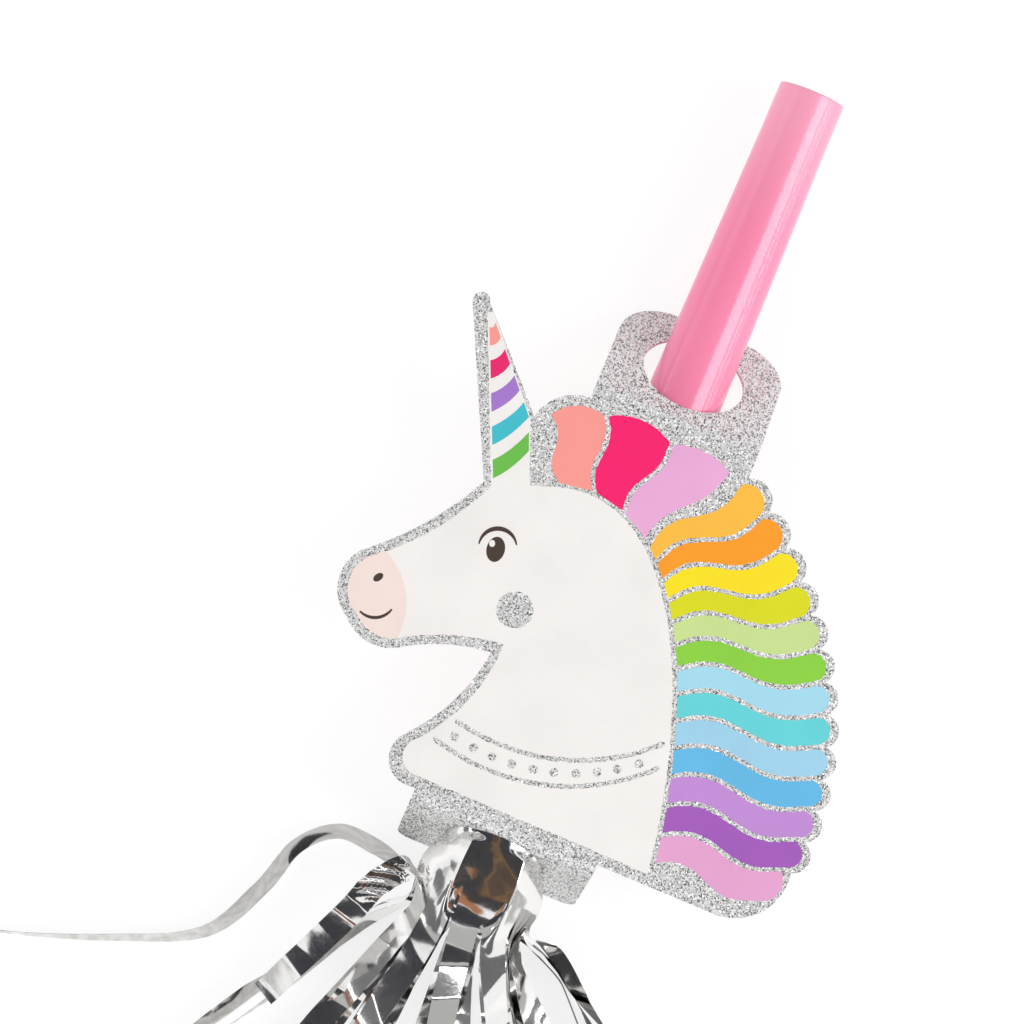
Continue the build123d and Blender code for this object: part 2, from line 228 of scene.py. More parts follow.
# Flags round the fringe: cloth, side in degrees from the top of the picture, first and last angle from
# straight above, and width. They stand in metres from the fringe, whose middle is this far past the bell
FLAG_DISTANCE = 0.74
FRINGE_MIDDLE = 8.0
FLAGS = [
    ("streaked", 180, -16, 12, 0.4), ("black", 180, 21, 43, 0.5), ("grey", 180, 44, 58, 0.6),
    ("black", 180, 58, 65, 0.7), ("dark", 180, 69, 86, 1.1), ("copper", 172, 12.5, 20, 0.22),
    ("black", 270, 15, 38, 0.42), ("grey", 270, 46, 60, 0.5), ("brown", 270, 60, 66, 0.6),
    ("dark", 270, 69, 86, 1.1), ("black", 248, 46, 66, 0.3), ("black", 293, 42, 66, 0.35),
    ("black", 90, 14, 26, 0.4), ("black", 90, 62, 70, 0.4), ("dark", 90, 74, 86, 0.8),
    ("black", 0, 15, 42, 0.55), ("dark", 0, 46, 62, 0.6),
    ("brown", 225, 30, 40, 0.2), ("black", 225, 45, 58, 0.35), ("grey", 225, 63, 76, 0.4),
    ("brown", 135, 18, 29, 0.15), ("black", 135, 36, 56, 0.3), ("dark", 135, 58, 72, 0.4),
    ("black", 315, 26, 50, 0.3), ("black", 45, 30, 46, 0.25),
]
# Painted shade: sheets on the table beside the fringe that only mirrors see, so the foil shows the table
# darker there: cloth, and two corners. Each lies a little above the one before
MIRROR_SHADE_SHEETS = [
    ("pale", (-95, -230), (-13, -128)), ("black", (-29, -158), (-24, -154.5)),
    ("grey", (13, -230), (95, -150)), ("black", (20, -176), (42, -170)), ("black", (-30, -196), (-16, -190)),
]
CLOTH_LIFT, CLOTH_STEP = 0.02, 0.01


def linear(colour):
    """A colour written as sRGB hex, as the linear values that a shader takes."""
    shares = [int(colour[i:i + 2], 16) / 255 for i in (1, 3, 5)]
    return [s / 12.92 if s <= 0.04045 else ((s + 0.055) / 1.055) ** 2.4 for s in shares] + [1.0]


def colour_property(name, description, colour):
    """A colour that a user may change."""
    return bpy.props.FloatVectorProperty(
        name=name, description=description, subtype="COLOR", size=4, min=0, max=1, default=linear(colour))


def length_property(name, description, default, least, most):
    """A length that a user may change, given in millimetres."""
    return bpy.props.FloatProperty(
        name=name, description=description, default=default * MM, min=least * MM, max=most * MM,
        subtype="DISTANCE", unit="LENGTH")


def factor_property(name, description, default):
    """A share that a user may change."""
    return bpy.props.FloatProperty(
        name=name, description=description, default=default, min=0, max=1, subtype="FACTOR")


def power_property(name, description, default):
    """A lamp's power that a user may change."""
    return bpy.props.FloatProperty(
        name=name, description=description, default=default, min=0, subtype="POWER", unit="POWER")


class HornSettings(bpy.types.PropertyGroup):
    """The horn and the reed inside it."""

    pink: colour_property("Pink", "Colour of the horn's plastic", "#FF8CB0")
    reed: colour_property("Reed", "Colour of the reed's plug", "#F1EEE6")
    roughness: factor_property("Roughness", "How dull the horn's plastic is", 0.16)


class CardSettings(bpy.types.PropertyGroup):
    """The card and what is printed on it."""

    board: colour_property("Board", "Colour of the card's board", "#F1ECE4")
    grain: length_property("Glitter grain", "Width of one grain of glitter", 0.22, 0.05, 2)
    head: colour_property("Head", "Ink of the head", "#F5F1EE")
    muzzle: colour_property("Muzzle", "Ink of the muzzle", "#F6E2DB")
    lines: colour_property("Lines", "Ink of the eye, nostril and mouth", "#4A3A33")
    film: length_property("Ink film", "Thickness of one film of ink", 0.02, 0.005, 0.1)
    raggedness: length_property("Raggedness", "How far an ink's edge strays over the glitter", 0.16, 0, 1)
    wave: length_property("Wave", "Height of the wave in each lock of the mane", 1.5, 0, 5)


class FoilSettings(bpy.types.PropertyGroup):
    """The foil collar and its fringe."""

    silver: colour_property("Silver", "Colour of the foil", "#F2F1F0")
    roughness: factor_property("Roughness", "How dull the foil is", 0.07)
    film: length_property("Film", "Thickness of the foil", 0.04, 0.01, 0.2)
    crease: length_property("Crease", "Height of the creases across a strip", 0.55, 0, 2)
    twist: bpy.props.FloatProperty(
        name="Twist", description="How far a strip turns about its own line", default=math.radians(20),
        min=0, max=math.pi, subtype="ANGLE", unit="ROTATION")
    seed: bpy.props.IntProperty(
        name="Seed", description="Number that sets how the strips differ", default=7, min=0)


class StageSettings(bpy.types.PropertyGroup):
    """The table, the light and the camera."""

    distance: length_property("Camera height", "How far the camera stands above the card", 700, 100, 5000)
    key: power_property("Key", "Power of the softbox on the right", 3.6)
    fill: power_property("Fill", "Power of the softbox on the left", 2.4)
    front: power_property("Front", "Power of the softbox past the fringe", 1.3)
    ambient: bpy.props.FloatProperty(
        name="Ambient", description="Brightness of the white room", default=0.605, min=0, max=2)


def add_node(tree, kind, sockets=None, stops=(), **settings):
    """Add a node and give its outputs. Each of its sockets takes a value, or the socket that leads to it, and
    a ramp takes its stops."""
    node = tree.nodes.new("ShaderNode" + kind)
    for name, value in settings.items():
        setattr(node, name, value)
    for name, source in (sockets or {}).items():
        if isinstance(source, bpy.types.NodeSocket):
            tree.links.new(source, node.inputs[name])
        else:
            node.inputs[name].default_value = source
    if stops:
        elements = node.color_ramp.elements
        for place, _ in stops[1:-1]:
            elements.new(place)
        for element, (place, colour) in zip(elements, stops):
            element.position = place
            element.color = colour
    return node.outputs


def new_material(name):
    """An empty material, with its tree and the socket of the object's own coordinates."""
    material = bpy.data.materials.new(name)
    material.use_nodes = True
    tree = material.node_tree
    tree.nodes.clear()
    return material, tree, add_node(tree, "TexCoord")["Object"]


def surfaced(material, sockets):
    """The material with its surface shader."""
    shader = add_node(material.node_tree, "BsdfPrincipled", sockets)
    add_node(material.node_tree, "OutputMaterial", {"Surface": shader["BSDF"]})
    return material


def shades(colour, *stops):
    """A ramp's stops, each a place and how much lighter or darker a linear colour is there."""
    return [(place, [min(1.0, c * share) for c in colour[:3]] + [1.0]) for place, share in stops]


def tints(*stops):
    """A ramp's stops, each a place and a colour written as sRGB hex."""
    return [(place, linear(colour)) for place, colour in stops]


def polypropylene_tube(colour, roughness):
    """Extruded polypropylene: milky, so light spreads inside the wall, with a smooth soft gloss and faint
    draw lines along the tube. Its colour is painted paler near the open mouth, as painted light."""
    material, tree, place = new_material("extruded_polypropylene")
    # Clouding of the melt, 9 mm across and drawn out along the tube
    drawn = add_node(tree, "Mapping", {"Vector": place, "Scale": (1.0, 0.25, 1.0)})
    cloud = add_node(tree, "TexNoise", {"Vector": drawn["Vector"], "Scale": 1 / (9 * MM), "Detail": 2.0})
    tint = add_node(tree, "ValToRGB", {"Fac": cloud["Fac"]}, shades(colour, (0.3, 0.97), (0.7, 1.04)))
    # Painted light: the colour is paler over the last 32 mm towards the open mouth, standing in for light
    # that comes in at the mouth and spreads in the milky wall
    axes = add_node(tree, "SeparateXYZ", {"Vector": place})
    near = add_node(
        tree, "MapRange", {"Value": axes["Y"], "From Min": -32 * MM, "From Max": 4 * MM, "To Max": 0.4},
        interpolation_type="SMOOTHSTEP")
    # Painted light: the paler pink mixed in near the mouth
    pale = add_node(
        tree, "MixRGB", {"Fac": near["Result"], "Color1": tint["Color"], "Color2": linear("#FFC6D8")})
    # Draw lines, 0.5 mm apart
    fine = add_node(tree, "Mapping", {"Vector": place, "Scale": (1.0, 0.01, 1.0)})
    lines = add_node(tree, "TexNoise", {"Vector": fine["Vector"], "Scale": 1 / (0.5 * MM), "Detail": 1.0})
    bump = add_node(tree, "Bump", {"Height": lines["Fac"], "Strength": 0.03, "Distance": 0.02 * MM})
    gloss = add_node(
        tree, "MapRange", {"Value": cloud["Fac"], "To Min": roughness * 0.85, "To Max": roughness * 1.2})
    return surfaced(material, {
        "Base Color": pale["Color"], "Roughness": gloss["Result"], "Normal": bump["Normal"], "IOR": 1.49,
        "Subsurface Weight": 0.08, "Subsurface Radius": (1.0, 0.45, 0.5), "Subsurface Scale": 1.0 * MM})


def moulded_polyethylene(colour):
    """Moulded polyethylene: waxy and milky, with a fine spark-eroded grain from its mould."""
    material, tree, place = new_material("moulded_polyethylene")
    # Mould grain, 0.25 mm
    grain = add_node(tree, "TexNoise", {"Vector": place, "Scale": 1 / (0.25 * MM), "Detail": 3.0})
    bump = add_node(tree, "Bump", {"Height": grain["Fac"], "Strength": 0.25, "Distance": 0.03 * MM})
    tint = add_node(tree, "ValToRGB", {"Fac": grain["Fac"]}, shades(colour, (0.2, 0.93), (0.8, 1.03)))
    return surfaced(material, {
        "Base Color": tint["Color"], "Normal": bump["Normal"], "IOR": 1.51, "Roughness": 0.45,
        "Subsurface Weight": 0.3, "Subsurface Scale": 1.5 * MM})


def polyester_film():
    """Clear cast polyester film: thin and springy, glossy, with a faint milky haze."""
    material, tree, place = new_material("cast_polyester_film")
    # Haze, 3 mm across
    haze = add_node(tree, "TexNoise", {"Vector": place, "Scale": 1 / (3 * MM), "Detail": 2.0})
    gloss = add_node(tree, "MapRange", {"Value": haze["Fac"], "To Min": 0.1, "To Max": 0.24})
    tint = add_node(tree, "ValToRGB", {"Fac": haze["Fac"]}, tints((0.2, "#DDE6EC"), (0.8, "#EEF3F5")))
    return surfaced(material, {
        "Base Color": tint["Color"], "Roughness": gloss["Result"], "IOR": 1.6, "Transmission Weight": 0.5})


def adhesive_tape():
    """Clear polypropylene tape: almost invisible, glossy, with small bubbles in its glue."""
    material, tree, place = new_material("clear_polypropylene_tape")
    # Bubbles, 0.8 mm apart
    bubbles = add_node(tree, "TexVoronoi", {"Vector": place, "Scale": 1 / (0.8 * MM)})
    alpha = add_node(
        tree, "MapRange", {"Value": bubbles["Distance"], "From Max": 0.35, "To Min": 0.45, "To Max": 0.22})
    tint = add_node(
        tree, "ValToRGB", {"Fac": bubbles["Distance"]}, tints((0.0, "#F4F4EE"), (0.5, "#E6E6DC")))
    return surfaced(material, {
        "Base Color": tint["Color"], "Alpha": alpha["Result"], "IOR": 1.49, "Roughness": 0.15})


def folding_boxboard(colour):
    """Uncoated folding boxboard: dull white, with short fibres that are a little darker."""
    material, tree, place = new_material("folding_boxboard")
    # Fibres, 0.3 mm wide and 1.5 mm long
    drawn = add_node(tree, "Mapping", {"Vector": place, "Scale": (1.0, 0.2, 1.0)})
    fibres = add_node(tree, "TexNoise", {"Vector": drawn["Vector"], "Scale": 1 / (0.3 * MM), "Detail": 4.0})
    tint = add_node(tree, "ValToRGB", {"Fac": fibres["Fac"]}, shades(colour, (0.3, 0.88), (0.65, 1.0)))
    bump = add_node(tree, "Bump", {"Height": fibres["Fac"], "Strength": 0.35, "Distance": 0.03 * MM})
    return surfaced(material, {
        "Base Color": tint["Color"], "Normal": bump["Normal"], "Roughness": 0.85, "IOR": 1.47})


def glitter_film(grain):
    """Glitter film: small flakes of metallised polyester that lie at all angles in clear lacquer, so each
    grain is a mirror of its own, bright or dark. On top of that, each grain's colour is painted darker or
    lighter, a painted sparkle."""
    material, tree, place = new_material("silver_glitter_film")
    # Flakes stand up a little in the lacquer, so on a steep face a grain is longer
    stand = add_node(tree, "Mapping", {"Vector": place, "Scale": (1.0, 1.0, 0.22)})
    flakes = add_node(tree, "TexVoronoi", {"Vector": stand["Vector"], "Scale": 1 / grain})
    parts = add_node(tree, "SeparateColor", {"Color": flakes["Color"]})
    # Painted sparkle: each grain's colour runs from dark grey to white, standing in for the light that each
    # flake catches; the lean of each flake below is real shading
    tint = add_node(tree, "ValToRGB", {"Fac": parts["Blue"]}, tints(
        (0.0, "#5C5C5C"), (0.3, "#C4C4C4"), (0.55, "#F0F0F0"), (1.0, "#FFFFFE")))
    # Each flake leans its own way
    lean = add_node(tree, "VectorMath", {0: flakes["Color"], 1: (0.5, 0.5, 0.5)}, operation="SUBTRACT")
    amount = add_node(tree, "VectorMath", {0: lean["Vector"], "Scale": 0.75}, operation="SCALE")
    face = add_node(tree, "NewGeometry")
    tilted = add_node(tree, "VectorMath", {0: amount["Vector"], 1: face["Normal"]}, operation="ADD")
    normal = add_node(tree, "VectorMath", {0: tilted["Vector"]}, operation="NORMALIZE")
    gloss = add_node(tree, "MapRange", {"Value": parts["Green"], "To Min": 0.3, "To Max": 0.5})
    return surfaced(material, {
        "Base Color": tint["Color"], "Roughness": gloss["Result"], "Normal": normal["Vector"],
        "Metallic": 0.35})


def printing_ink(name, colour, grain):
    """Screen printing ink: a satin film that follows the glitter under it as a fine grain, a little uneven
    in depth."""
    material, tree, place = new_material("screen_ink_" + name)
    texture = add_node(tree, "TexNoise", {"Vector": place, "Scale": 1 / grain, "Detail": 2.0})
    # Uneven depth of the film, 12 mm across
    depth = add_node(tree, "TexNoise", {"Vector": place, "Scale": 1 / (12 * MM), "Detail": 3.0})
    both = add_node(tree, "Math", {0: texture["Fac"], 1: 0.4, 2: depth["Fac"]}, operation="MULTIPLY_ADD")
    tint = add_node(tree, "ValToRGB", {"Fac": both["Value"]}, shades(colour, (0.45, 0.95), (0.95, 1.03)))
    bump = add_node(tree, "Bump", {"Height": texture["Fac"], "Strength": 0.18, "Distance": 0.03 * MM})
    gloss = add_node(tree, "MapRange", {"Value": texture["Fac"], "To Min": 0.42, "To Max": 0.6})
    return surfaced(material, {
        "Base Color": tint["Color"], "Roughness": gloss["Result"], "Normal": bump["Normal"], "IOR": 1.48})


def metallised_film(colour, roughness):
    """Vacuum metallised polyester: a thin mirror, slightly wavy between its creases, with fine scuffs."""
    material, tree, place = new_material("metallised_polyester_film")
    # Waviness of the stretched film, 4 mm across
    waves = add_node(tree, "TexNoise", {"Vector": place, "Scale": 1 / (4 * MM), "Detail": 2.0})
    bump = add_node(tree, "Bump", {"Height": waves["Fac"], "Strength": 0.12, "Distance": 0.12 * MM})
    # Scuffs, 0.4 mm apart
    scuffs = add_node(tree, "TexNoise", {"Vector": place, "Scale": 1 / (0.4 * MM), "Detail": 4.0})
    gloss = add_node(tree, "MapRange", {
        "Value": scuffs["Fac"], "From Min": 0.4, "From Max": 0.75, "To Min": roughness,
        "To Max": roughness * 2})
    tint = add_node(tree, "ValToRGB", {"Fac": scuffs["Fac"]}, shades(colour, (0.3, 0.97), (0.7, 1.02)))
    return surfaced(material, {
        "Base Color": tint["Color"], "Roughness": gloss["Result"], "Normal": bump["Normal"], "Metallic": 1.0})


def finish_node(name, material):
    """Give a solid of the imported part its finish."""
    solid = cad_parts.get(name)
    if solid is None:
        raise RuntimeError("the packed part has no node " + name)
    solid.data.materials.clear()
    solid.data.materials.append(material)


def new_piece(name, points, faces, material):
    """A mesh piece from points in millimetres."""
    if not faces:
        raise RuntimeError(name + " has no faces")
    mesh = bpy.data.meshes.new(name)
    mesh.from_pydata([Vector(p) * MM for p in points], [], faces)
    mesh.validate()
    mesh.materials.append(material)
    piece = bpy.data.objects.new(name, mesh)
    bpy.context.scene.collection.objects.link(piece)
    return piece


def ease(t, start=0.0, run=1.0):
    """Rise smoothly from 0 at start to 1 after a run."""
    t = min(max((t - start) / run, 0.0), 1.0)
    return t * t * (3 - 2 * t)


def bezier(points, t):
    """The point at share t of a Bezier line."""
    points = [Vector(p) for p in points]
    while len(points) > 1:
        points = [a.lerp(b, t) for a, b in zip(points, points[1:])]
    return points[0]


def beside(points, t, distance):
    """A point to the right of a Bezier line that runs down the card."""
    along = bezier(points, min(1.0, t + 0.01)) - bezier(points, max(0.0, t - 0.01))
    return bezier(points, t) + Vector((-along.y, along.x)).normalized() * distance


def direction(points, i):
    """The way that a line of points runs at one of them."""
    return points[min(i + 1, len(points) - 1)] - points[max(i - 1, 0)]


def straight(start, end):
    """Points from start to end, without start."""
    start, end = Vector(start), Vector(end)
    count = max(1, round((end - start).length / PEN_STEP))
    return [start.lerp(end, i / count) for i in range(1, count + 1)]


def arc(start, via, end):
    """Points of the circle from start through via to end, without start."""
    start, via, end = Vector(start), Vector(via), Vector(end)
    u, v = via - start, end - start
    turn = 2 * u.cross(v)
    if abs(turn) < 1e-6:
        return straight(start, end)
    uu, vv = u.length_squared, v.length_squared
    centre = start + Vector((v.y * uu - u.y * vv, u.x * vv - v.x * uu)) / turn
    radius = (start - centre).length
    first, last = [math.atan2(p.y - centre.y, p.x - centre.x) for p in (start, end)]
    sweep = (last - first) % math.tau if turn > 0 else -((first - last) % math.tau)
    count = max(2, round(abs(sweep) * radius / PEN_STEP))
    angles = [first + sweep * i / count for i in range(1, count + 1)]
    return [centre + Vector((math.cos(a), math.sin(a))) * radius for a in angles]


def trace(start, *runs):
    """Points of a drawn line: a run of one point is straight, a run of two is an arc through the first."""
    points = [Vector(start)]
    for run in runs:
        points += arc(points[-1], *run) if len(run) == 2 else straight(points[-1], run[0])
    return points


def stroke(line, width, taper=0.0):
    """The outline of a line drawn with a round pen, thinner towards its ends by taper."""
    left, right = [], []
    for i, point in enumerate(line):
        along = direction(line, i).normalized()
        share = i / (len(line) - 1)
        half = width / 2 * (1 - taper + taper * math.sin(math.pi * share))
        side = Vector((-along.y, along.x)) * half
        left.append(point + side)
        right.append(point - side)
    ends = []
    for point, other, side in ((line[-1], line[-2], left[-1]), (line[0], line[1], right[0])):
        along = (point - other).normalized()
        spoke = side - point
        ends.append([point + spoke * math.cos(a) + along * spoke.length * math.sin(a)
                     for a in (math.pi * k / 6 for k in range(1, 6))])
    return left + ends[0] + right[::-1] + ends[1]


def oval(centre, width, height, turn=0.0):
    """The outline of an oval."""
    centre = Vector(centre)
    spin = Matrix.Rotation(math.radians(turn), 2)
    count = max(16, round(math.pi * (width + height) / 2 / PEN_STEP))
    angles = [math.tau * i / count for i in range(count)]
    return [centre + spin @ Vector((width / 2 * math.cos(a), height / 2 * math.sin(a))) for a in angles]


def wavy(start, end, height):
    """Points from start to end on one slow wave: up first, then down."""
    along = (end - start).normalized()
    up = Vector((-along.y, along.x))
    count = max(4, round((end - start).length / WAVE_STEP))
    shares = [i / count for i in range(count + 1)]
    return [start.lerp(end, t) + up * height * math.sin(math.tau * t) * (1 - WAVE_FADE * t) for t in shares]


def on_card(point):
    """A point of the upright drawing, in the horn's own frame."""
    lean_cos, lean_sin = math.cos(HEAD_LEAN), math.sin(HEAD_LEAN)
    return (point.x * lean_cos - point.y * lean_sin, HEAD_CENTRE_Y + point.x * lean_sin + point.y * lean_cos)


def print_patch(name, outline, material, level=1, ragged=True):
    """Print one patch of ink on the card, as a thin film with its own edge."""
    card = bpy.context.scene.blower_card
    stray = card.raggedness / MM if ragged else 0.0
    points = []
    count = len(outline)
    for i, point in enumerate(outline):
        along = outline[(i + 1) % count] - outline[i - 1]
        side = Vector((along.y, -along.x)).normalized() if along.length else Vector((0, 0))
        # The edge follows the grains under it
        spot = Vector((point.x, point.y, EDGE_SHIFT * level)) / EDGE_GRAIN
        points.append(point + side * stray * noise.noise(spot))
    if sum(a.cross(b) for a, b in zip(points, points[1:] + points[:1])) < 0:
        points.reverse()
    low, high = CARD_TOP - INK_DEPTH, CARD_TOP + level * card.film / MM
    placed = [on_card(p) for p in points]
    vertices = [(x, y, z) for z in (high, low) for x, y in placed]
    faces = [list(range(count)), list(range(2 * count - 1, count - 1, -1))]
    faces += [[i, i + count, (i + 1) % count + count, (i + 1) % count] for i in range(count)]
    piece = new_piece(name, vertices, faces, material)
    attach(piece, "card")


def foil_radius(distance, turns=FOIL_TURNS):
    """The radius over a number of turns of foil, at a distance from the horn's mouth."""
    taper = (BELL_RADIUS - LIP_RADIUS) / (-BELL_Y - LIP_LENGTH)
    return LIP_RADIUS + taper * max(0.0, distance - LIP_LENGTH) + FOIL_FIT + turns * FOIL_THICKNESS


def ripple(x, y):
    """How far the fringe has sprung up at a place on the table, in waves that run round the bell."""
    past = BELL_Y - y
    reach = math.hypot(x, past)
    phase = math.tau * (reach - RIPPLE_START) / RIPPLE_LENGTH + RIPPLE_SKEW * math.atan2(x, past)
    return RIPPLE_HEIGHT * ease(reach, RIPPLE_START, RIPPLE_FADE) * (1 - math.cos(phase)) / 2


def zigzag(x):
    """A wave of straight flanks, from -1 to 1."""
    return 4 * abs(x - math.floor(x + 0.5)) - 1


def creases(rng, crease, bands):
    """A crumpled height of flat facets, in one layer for each band."""
    layers = []
    for share, shortest, longest, skew in bands:
        places, heights = [-CREASE_MARGIN], [0.0]
        while places[-1] < STRIP_LENGTH + CREASE_MARGIN:
            places.append(places[-1] + rng.uniform(shortest, longest))
            heights.append(share * crease * rng.uniform(LEAST_CREASE, 1.0) * (1 if len(places) % 2 else -1))
        layers.append((places, heights, rng.uniform(-skew, skew)))

    def crumpled(along, across):
        total = 0.0
        for places, heights, slant in layers:
            at = along + slant * across
            k = min(max(bisect.bisect_right(places, at) - 1, 0), len(places) - 2)
            share = (at - places[k]) / (places[k + 1] - places[k])
            total += heights[k] + (heights[k + 1] - heights[k]) * share
        return total
    return crumpled


def collar_radius(angle, distance, turn=0):
    """The radius of one turn of the collar: it is drawn tight under its tape, fills the card's hole, and
    opens into flat facets past it."""
    wound = foil_radius(min(distance, -BELL_Y), FOIL_TURNS - turn - 0.5)
    past_tab = distance + TAB_Y + TAB_LEAN * wound * math.cos(angle)
    hole = 1 / math.hypot(math.sin(angle) / HOLE_X, math.cos(angle) / HOLE_Z) - HOLE_GAP
    loose = ease(distance + BELL_Y + FOIL_LENGTH, *LOOSENS) * ease(past_tab, *FILLS)
    flat = wound / max(math.cos(angle - math.radians(middle)) for middle in COLLAR_FACETS)
    dent = sum(height * zigzag(number * angle / math.tau + slant * distance + phase)
               for height, number, slant, phase in COLLAR_FOLDS)
    filled = wound + loose * max(0.0, hole - wound)
    top, side = COLLAR_FLARE
    flare = (top + (side - top) * math.sin(angle) ** 2) * ease(past_tab, *FLARES)
    return filled + ease(past_tab, *BREAKS) * (flat - wound + dent) + flare


def is_upper(clock):
    """Whether a strip leaves the upper half of the bell."""
    return math.cos(clock) > 1e-6


def strip_line(turn, place):
    """The clock angle of one strip, and its line from the bell outwards: evenly spaced points, each with the
    direction of the strip's width."""
    clock = math.tau * place / STRIPS_ROUND
    radius = foil_radius(-BELL_Y, FOIL_TURNS - turn - 0.5)
    root = Vector((radius * math.sin(clock), BELL_Y, radius * math.cos(clock)))
    root_side = Vector((math.cos(clock), 0, -math.sin(clock)))
    if (turn, place) == SHORT_STRIP:
        return clock, even_line(short_line(root, root_side), SHORT_STRIP_LENGTH)
    if (turn, place) == CURLED_STRIP:
        return clock, even_line(curled_line(root, root_side), STRIP_LENGTH)
    return clock, even_line(fanned_line(turn, clock, root, root_side), STRIP_LENGTH)


def level_side(heading):
    """The direction across a level strip that runs at an angle from the horn's own line."""
    return Vector((math.cos(heading), math.sin(heading), 0))


def short_line(root, root_side):
    """The line of the short strip, which springs out to the side."""
    bell = Vector((0, BELL_Y, 0))
    stations = [bell + Vector((x, -y, z)) * SHORT_STRIP_LENGTH for x, y, z in SHORT_ROUTE]
    rest_side = level_side(math.radians(SHORT_STRIP_LEAN))
    points = smooth_line([root] + stations)
    return [(p, root_side.lerp(rest_side, ease(i / len(points), *SHORT_TURN))) for i, p in enumerate(points)]


def curled_line(root, root_side):
    """The line of the curled strip, which stands on its edge on the table and leans back."""
    level = FLOOR_Z + STRIP_LIFT + STRIP_WIDTH / 2
    stations = [Vector((x * STRIP_LENGTH, BELL_Y - y * STRIP_LENGTH, level)) for x, y in CURL_ROUTE]
    points = smooth_line([root] + stations)
    bend, tail = CURL_LEANS
    line = []
    for i, point in enumerate(points):
        along = direction(points, i)
        share = i / len(points)
        lean = bend + (tail - bend) * ease(share, *CURL_TAIL)
        back = Vector((along.y, -along.x, 0)).normalized() * lean
        line.append((point, root_side.lerp(Vector((0, 0, 1)) + back, ease(share, *CURL_TURN))))
    return line


def fanned_line(turn, clock, root, root_side):
    """The line of a strip that fans out and falls on the table."""
    upper = is_upper(clock)
    on_edge = 0 < -math.cos(clock) < EDGE_COSINE
    if on_edge:
        spread = (EDGE_FAN - EDGE_FAN_STEP * turn) * math.sin(clock)
    else:
        shift = math.radians(TURN_SHIFT) * (0, 1, -1)[turn % 3] * max(0.0, math.cos(clock)) ** SHIFT_FADE
        spread = math.sin(clock + shift) * TURN_FAN ** turn
    heading = math.radians(FRINGE_LEAN + FRINGE_FAN * spread)
    if upper:
        sooner = SIDE_LANDING + (1 - SIDE_LANDING) * math.cos(clock)
        landing = UPPER_LANDING * sooner * UPPER_TURN_LANDING ** (turn * math.cos(clock) ** 2)
        level = 2 * FOIL_TURNS - turn
    else:
        landing = LOWER_LANDING * LOWER_TURN_LANDING ** turn
        level = turn
    ahead = Vector((math.sin(heading), -math.cos(heading), 0))
    rest = FLOOR_Z + STRIP_LIFT + level * STRIP_LEVEL
    rest_side = level_side(heading) * (1 if upper else -1)
    if on_edge:
        # A strip that stands on its edge leans as it runs out
        rest = FLOOR_Z + STRIP_LIFT + STRIP_WIDTH / 2
        rest_side = Vector((0, 0, -math.copysign(1, math.sin(clock)))) + level_side(heading) * EDGE_LEAN
    land = Vector((root.x, root.y, rest)) + ahead * landing
    line = []
    for i in range(FALL_STEPS + 1):
        t = i / FALL_STEPS
        pull = Vector((0, -landing, 0)) * t * (1 - t) ** 2 - ahead * landing * t * t * (1 - t)
        line.append((root + (land - root) * ease(t) + pull, root_side.lerp(rest_side, ease(t))))
    line.append((land + ahead * (STRIP_LENGTH - landing), rest_side))
    return line


def smooth_line(stations, steps=24):
    """A smooth line through stations."""
    ends = [stations[0] * 2 - stations[1]] + stations + [stations[-1] * 2 - stations[-2]]
    line = []
    for a, b, c, d in zip(ends, ends[1:], ends[2:], ends[3:]):
        for i in range(steps):
            t = i / steps
            line.append(0.5 * (2 * b + (c - a) * t + (2 * a - 5 * b + 4 * c - d) * t * t
                               + (3 * b - a - 3 * c + d) * t ** 3))
    return line + [stations[-1]]


def even_line(line, length, step=0.4):
    """The same line with even steps, cut at length."""
    places = [0.0]
    for (a, _), (b, _) in zip(line, line[1:]):
        places.append(places[-1] + (b - a).length)
    length = min(length, places[-1])
    count = round(length / step)
    even, k = [], 0
    for i in range(count + 1):
        s = length * i / count
        while k < len(places) - 2 and places[k + 1] < s:
            k += 1
        t = (s - places[k]) / max(1e-9, places[k + 1] - places[k])
        even.append((line[k][0].lerp(line[k + 1][0], t), line[k][1].lerp(line[k + 1][1], t)))
    return even


